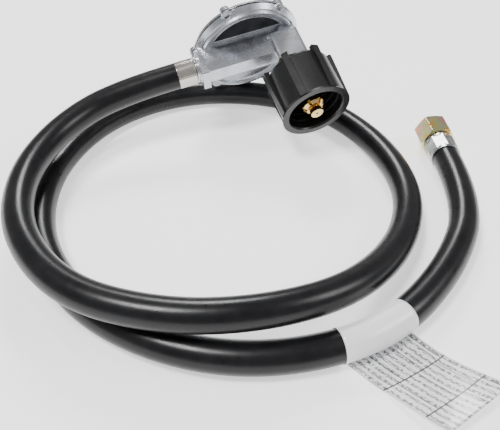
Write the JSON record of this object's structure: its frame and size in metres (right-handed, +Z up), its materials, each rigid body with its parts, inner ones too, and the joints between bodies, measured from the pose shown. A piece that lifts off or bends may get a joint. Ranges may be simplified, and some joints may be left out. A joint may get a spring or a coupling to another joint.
{
  "type": "propane regulator hose",
  "caption": "Low-pressure gas regulator with a hand-tightened ribbed coupling nut, and a coiled rubber delivery hose ending in a swivel flare nut",
  "frame": {"origin": "centre of the inlet nipple's tip face, in the mouth of the coupling nut", "axes": "+Z up as the object lies on a floor 34 mm below the origin; the nipple points towards -Y, tilted 20 degrees downward; +Y runs back through the regulator's bonnet"},
  "size_m": [0.2729, 0.2846, 0.084],
  "materials": {
    "zinc_casting": "bare die-cast zinc, satin",
    "screen": "fine wire screen",
    "diaphragm_rubber": "fabric-backed rubber",
    "spring_steel": "plain steel",
    "adjuster_plastic": "matte black",
    "cap_plastic": "matte black",
    "brass": "machined brass",
    "gasket": "flat rubber",
    "bushing": "heat-sensitive plastic",
    "fitting_steel": "plated steel",
    "ferrule_steel": "bright plated steel",
    "end_ferrule_steel": "plated steel, crimped",
    "hose_rubber": "satin black rubber",
    "label": "white coated film",
    "nut_plastic": "semi-gloss black nylon",
    "yellow_zinc": "iridescent yellow zinc plate",
    "plate_steel": "plated steel",
    "seat_rubber": "valve rubber",
    "screw_steel": "zinc-plated steel"
  },
  "bodies": {
    "regulator": {"body_casting": "zinc_casting", "bonnet": "zinc_casting", "vent_screen": "screen", "cover_screw_1": "screw_steel", "cover_screw_2": "screw_steel", "cover_screw_3": "screw_steel", "cover_screw_4": "screw_steel", "cover_screw_5": "screw_steel", "cover_screw_6": "screw_steel", "diaphragm": "diaphragm_rubber", "main_spring": "spring_steel", "spring_adjuster": "adjuster_plastic", "closure_cap": "cap_plastic", "lever_pin": "spring_steel", "orifice_nozzle": "brass", "inlet_gasket": "gasket", "inlet_nipple": "brass", "poppet_spring": "spring_steel", "poppet_retainer": "brass", "thermal_bushing": "bushing", "retaining_ring": "spring_steel", "outlet_barb": "fitting_steel", "outlet_ferrule": "ferrule_steel", "hose": "hose_rubber", "end_ferrule": "end_ferrule_steel", "end_stem": "fitting_steel", "label": "label"},
    "coupling": {"coupling_nut": "nut_plastic"},
    "end_nut": {"flare_nut": "yellow_zinc"},
    "diaphragm_stack": {"diaphragm_plate": "plate_steel", "diaphragm_link": "plate_steel"},
    "lever_group": {"lever": "plate_steel", "seat_disc": "seat_rubber"},
    "poppet": {"excess_flow_poppet": "brass"}
  },
  "joints": [
    {"name": "coupling_nut_spin", "type": "hinge", "parent": "regulator", "child": "coupling", "pos_m": [0, 0, 0], "axis": [0, -0.9397, -0.342], "continuous": true},
    {"name": "flare_nut_spin", "type": "hinge", "parent": "regulator", "child": "end_nut", "pos_m": [0.069, -0.04, -0.0228], "axis": [0.284, 0.9588, 0], "continuous": true},
    {"name": "diaphragm_lift", "type": "slide", "parent": "regulator", "child": "diaphragm_stack", "axis": [0, 0.9397, 0.342], "range_m": [0, 0.0018], "stiffness_N_per_m": 500, "deforming": ["diaphragm", "main_spring"]},
    {"name": "lever_rock", "type": "hinge", "parent": "regulator", "child": "lever_group", "pos_m": [-0.00745, 0.06675, 0.02128], "axis": [0.3555, 0.3197, -0.8783], "range_deg": [0, 7.6]},
    {"name": "poppet_slide", "type": "slide", "parent": "regulator", "child": "poppet", "axis": [0, 0.9397, 0.342], "range_m": [0, 0.002], "stiffness_N_per_m": 40, "deforming": ["poppet_spring"]}
  ],
  "couplings": [
    {"joint": "lever_rock", "follows": "diaphragm_lift", "rad_per_m": 71.429}
  ]
}
